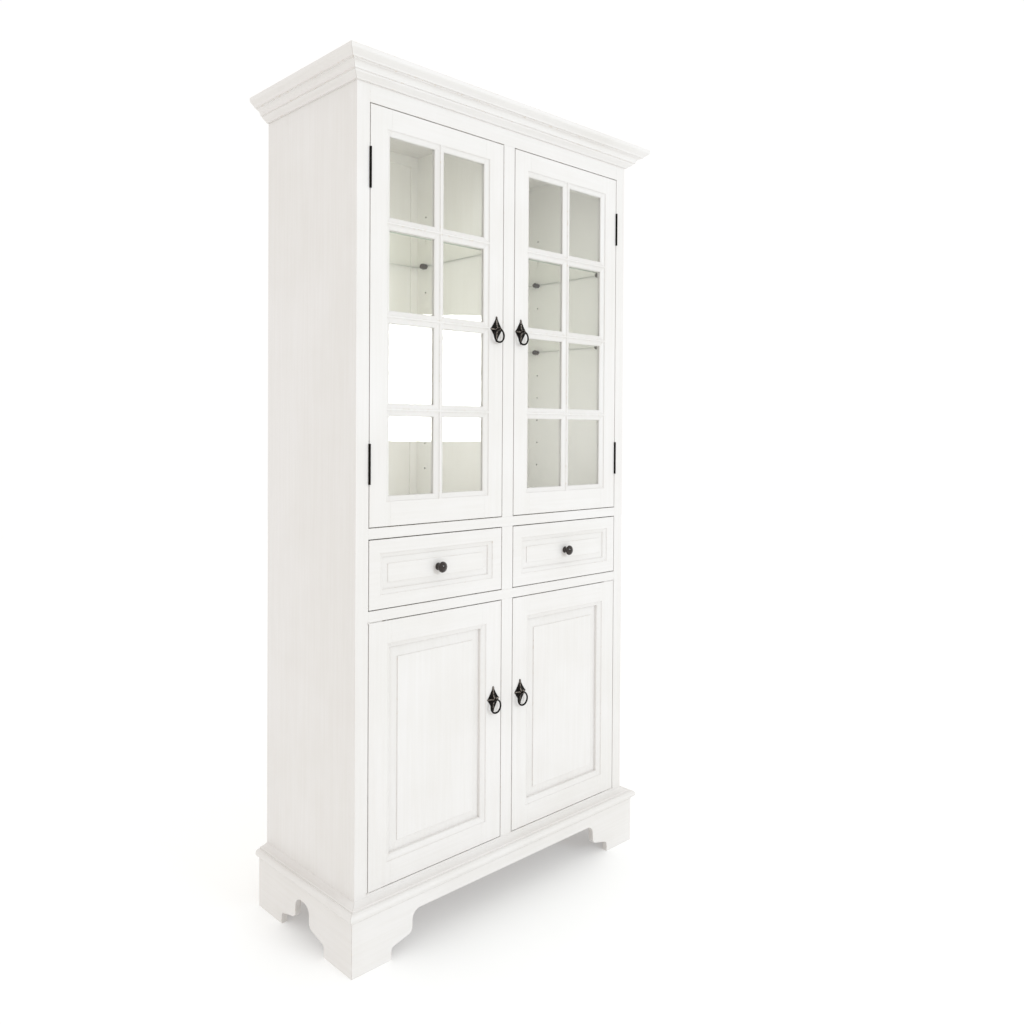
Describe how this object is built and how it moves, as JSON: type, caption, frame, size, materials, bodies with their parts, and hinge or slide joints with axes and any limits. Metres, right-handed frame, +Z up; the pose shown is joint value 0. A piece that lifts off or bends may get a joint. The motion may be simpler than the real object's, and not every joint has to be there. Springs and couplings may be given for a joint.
{
  "type": "display cabinet",
  "caption": "Tall painted display cabinet: glazed doors over drawers over panelled doors, moulded cornice, bracket-foot plinth, drop-ring handles.",
  "frame": {"origin": "centre of the bounding box on the floor plane, under the feet", "axes": "+Z up, the doors face -Y, the back is at +Y, +X is to the right of someone facing the back from the front"},
  "size_m": [1.1, 0.45, 2.1],
  "materials": {
    "white_paint": "hand-painted white, satin",
    "inside_paint": "painted pale grey-green, matt",
    "raw_wood": "bare sanded hardwood",
    "black_iron": "forged, waxed black",
    "dark_bronze": "patinated dark",
    "steel": "zinc-plated",
    "painted_steel": "painted over with the door",
    "clear_glass": "clear, faintly green at the edges"
  },
  "bodies": {
    "cabinet": {"side_panel_left": "white_paint", "side_panel_right": "white_paint", "centre_partitions": "inside_paint", "decks": "inside_paint", "top_panel": "white_paint", "back_stiles": "inside_paint", "back_rails": "inside_paint", "back_panels": "inside_paint", "face_stiles": "white_paint", "face_mullions": "white_paint", "face_rails": "white_paint", "cornice_front": "white_paint", "cornice_returns": "white_paint", "base_moulding_front": "white_paint", "base_moulding_returns": "white_paint", "plinth_front": "white_paint", "plinth_sides": "white_paint", "plinth_back": "white_paint", "plinth_corner_blocks": "raw_wood", "glass_shelves": "clear_glass", "glass_shelf_clamps": "dark_bronze", "lower_shelves": "inside_paint", "lower_shelf_pegs": "steel", "drawer_guides": "raw_wood", "butt_hinge_frame_leaves": "black_iron", "pivot_hinge_frame_plates": "painted_steel", "door_catches": "steel"},
    "upper_left_door": {"upper_left_door_frame": "white_paint", "upper_left_door_bars": "white_paint", "upper_left_door_panes": "clear_glass", "upper_left_door_beads": "white_paint", "upper_left_door_hinge_leaves": "black_iron", "upper_left_door_plate": "black_iron"},
    "upper_left_ring": {"upper_left_door_ring": "black_iron"},
    "upper_right_door": {"upper_right_door_frame": "white_paint", "upper_right_door_bars": "white_paint", "upper_right_door_panes": "clear_glass", "upper_right_door_beads": "white_paint", "upper_right_door_hinge_leaves": "black_iron", "upper_right_door_plate": "black_iron"},
    "upper_right_ring": {"upper_right_door_ring": "black_iron"},
    "lower_left_door": {"lower_left_door_frame": "white_paint", "lower_left_door_panel": "white_paint", "lower_left_door_pivot_plates": "painted_steel", "lower_left_door_plate": "black_iron"},
    "lower_left_ring": {"lower_left_door_ring": "black_iron"},
    "lower_right_door": {"lower_right_door_frame": "white_paint", "lower_right_door_panel": "white_paint", "lower_right_door_pivot_plates": "painted_steel", "lower_right_door_plate": "black_iron"},
    "lower_right_ring": {"lower_right_door_ring": "black_iron"},
    "left_drawer": {"left_drawer_front": "white_paint", "left_drawer_box": "raw_wood", "left_drawer_bottom": "raw_wood", "left_drawer_knob": "black_iron"},
    "right_drawer": {"right_drawer_front": "white_paint", "right_drawer_box": "raw_wood", "right_drawer_bottom": "raw_wood", "right_drawer_knob": "black_iron"}
  },
  "joints": [
    {"name": "upper_left_door_swing", "type": "hinge", "parent": "cabinet", "child": "upper_left_door", "pos_m": [-0.45725, -0.172, 1.5115], "axis": [0, 0, -1], "range_deg": [0, 110]},
    {"name": "upper_right_door_swing", "type": "hinge", "parent": "cabinet", "child": "upper_right_door", "pos_m": [0.45725, -0.172, 1.5115], "axis": [0, 0, 1], "range_deg": [0, 110]},
    {"name": "lower_left_door_swing", "type": "hinge", "parent": "cabinet", "child": "lower_left_door", "pos_m": [-0.45725, -0.17, 0.483], "axis": [0, 0, -1], "range_deg": [0, 110]},
    {"name": "lower_right_door_swing", "type": "hinge", "parent": "cabinet", "child": "lower_right_door", "pos_m": [0.45725, -0.17, 0.483], "axis": [0, 0, 1], "range_deg": [0, 110]},
    {"name": "left_drawer_slide", "type": "slide", "parent": "cabinet", "child": "left_drawer", "axis": [0, -1, 0], "range_m": [0, 0.26]},
    {"name": "right_drawer_slide", "type": "slide", "parent": "cabinet", "child": "right_drawer", "axis": [0, -1, 0], "range_m": [0, 0.26]},
    {"name": "upper_left_ring_drop", "type": "hinge", "parent": "upper_left_door", "child": "upper_left_ring", "pos_m": [-0.046, -0.1817, 1.5145], "axis": [-1, 0, 0], "range_deg": [-10, 170]},
    {"name": "upper_right_ring_drop", "type": "hinge", "parent": "upper_right_door", "child": "upper_right_ring", "pos_m": [0.046, -0.1817, 1.5145], "axis": [-1, 0, 0], "range_deg": [-10, 170]},
    {"name": "lower_left_ring_drop", "type": "hinge", "parent": "lower_left_door", "child": "lower_left_ring", "pos_m": [-0.051, -0.1817, 0.541], "axis": [-1, 0, 0], "range_deg": [-10, 170]},
    {"name": "lower_right_ring_drop", "type": "hinge", "parent": "lower_right_door", "child": "lower_right_ring", "pos_m": [0.051, -0.1817, 0.541], "axis": [-1, 0, 0], "range_deg": [-10, 170]}
  ]
}
